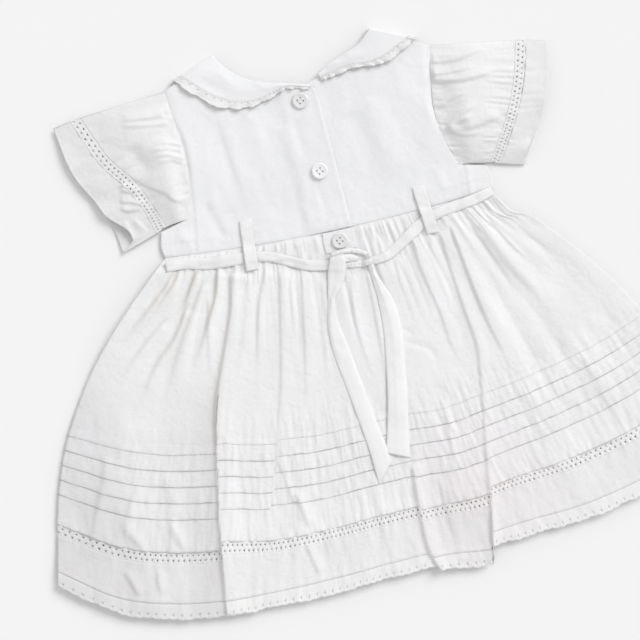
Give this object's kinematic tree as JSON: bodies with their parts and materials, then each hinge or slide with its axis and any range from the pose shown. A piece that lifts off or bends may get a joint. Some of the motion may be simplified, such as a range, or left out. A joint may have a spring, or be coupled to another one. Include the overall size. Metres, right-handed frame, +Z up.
{
  "type": "toddler dress",
  "caption": "Short-sleeved white cotton toddler dress lying flat, back up, with a lace-edged collar, buttoned back, tie sash and tucked, gathered skirt.",
  "frame": {"origin": "on the resting surface, under the middle of the skirt's front, 70 mm below the waist seam", "axes": "+X towards the wearer's right, across the back as it lies; +Y up to the neck; +Z up, away from the surface"},
  "size_m": [0.576, 0.4689, 0.011],
  "materials": {
    "cotton_lawn": "soft washed white cotton",
    "bodice_cotton": "pressed white cotton",
    "cotton_lace": "crochet cotton lace",
    "pearl_button": "pearly, softly glossy"
  },
  "bodies": {
    "root": {"bodice_front": "bodice_cotton", "bodice_back_left": "bodice_cotton", "bodice_back_right": "bodice_cotton", "placket_lap": "bodice_cotton", "collar_left": "bodice_cotton", "collar_right": "bodice_cotton", "collar_lace_left": "cotton_lace", "collar_lace_right": "cotton_lace", "sleeve_left": "cotton_lawn", "sleeve_right": "cotton_lawn", "sleeve_lace_left": "cotton_lace", "sleeve_lace_right": "cotton_lace", "sleeve_frill_left": "cotton_lawn", "sleeve_frill_right": "cotton_lawn", "skirt_front": "cotton_lawn", "skirt_back": "cotton_lawn", "skirt_lace_front": "cotton_lace", "skirt_lace_back": "cotton_lace", "hem_band_front": "cotton_lawn", "hem_band_back": "cotton_lawn", "hem_edging_front": "cotton_lace", "hem_edging_back": "cotton_lace", "belt_loop_left": "cotton_lawn", "belt_loop_right": "cotton_lawn", "sash_left": "cotton_lawn", "sash_right": "cotton_lawn", "sash_knot": "cotton_lawn", "sash_tail_left": "cotton_lawn", "sash_tail_right": "cotton_lawn", "button_top": "pearl_button", "button_middle": "pearl_button", "button_bottom": "pearl_button"}
  },
  "joints": []
}
